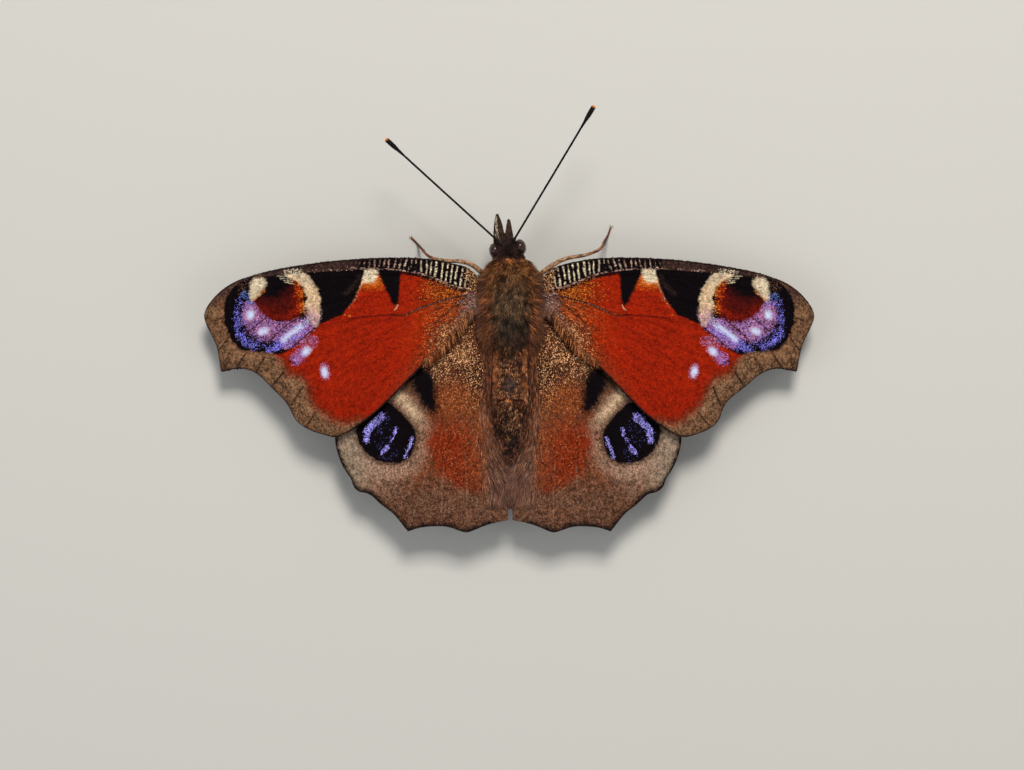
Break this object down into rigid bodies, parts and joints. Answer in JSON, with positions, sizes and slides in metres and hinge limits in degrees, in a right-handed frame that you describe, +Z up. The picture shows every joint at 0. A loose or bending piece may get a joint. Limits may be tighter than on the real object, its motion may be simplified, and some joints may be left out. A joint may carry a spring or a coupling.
{
  "type": "peacock butterfly",
  "caption": "Life-size peacock butterfly at rest on its legs, with its eyed red wings spread flat and its antennae held forward.",
  "frame": {"origin": "on the floor under the middle of the whole insect, antennae and wings included", "axes": "+X to the insect's right along the wing span, +Y towards its head, +Z up"},
  "size_m": [0.0614, 0.0424, 0.0085],
  "materials": {
    "body_fur": "soft brown fur, greenish grey along the middle of the thorax",
    "head_fur": "short dark brown bristles",
    "eye": "glossy dark brown",
    "antenna": "satin black horn with a small orange tip",
    "leg": "tan and brown, finely scaled",
    "fore_wing": "velvety scales: rust red with black, cream and blue-violet markings",
    "hind_wing": "velvety scales: brown with a red flush and a black and blue eyespot"
  },
  "bodies": {
    "root": {"thorax": "body_fur", "abdomen": "body_fur", "head": "head_fur", "proboscis": "antenna", "eye_left": "eye", "eye_right": "eye", "palp_left": "head_fur", "palp_right": "head_fur", "antenna_left": "antenna", "antenna_right": "antenna", "foreleg_left": "leg", "foreleg_right": "leg", "midleg_left": "leg", "midleg_right": "leg", "hindleg_left": "leg", "hindleg_right": "leg", "forewing_left": "fore_wing", "forewing_right": "fore_wing", "hindwing_left": "hind_wing", "hindwing_right": "hind_wing"}
  },
  "joints": []
}
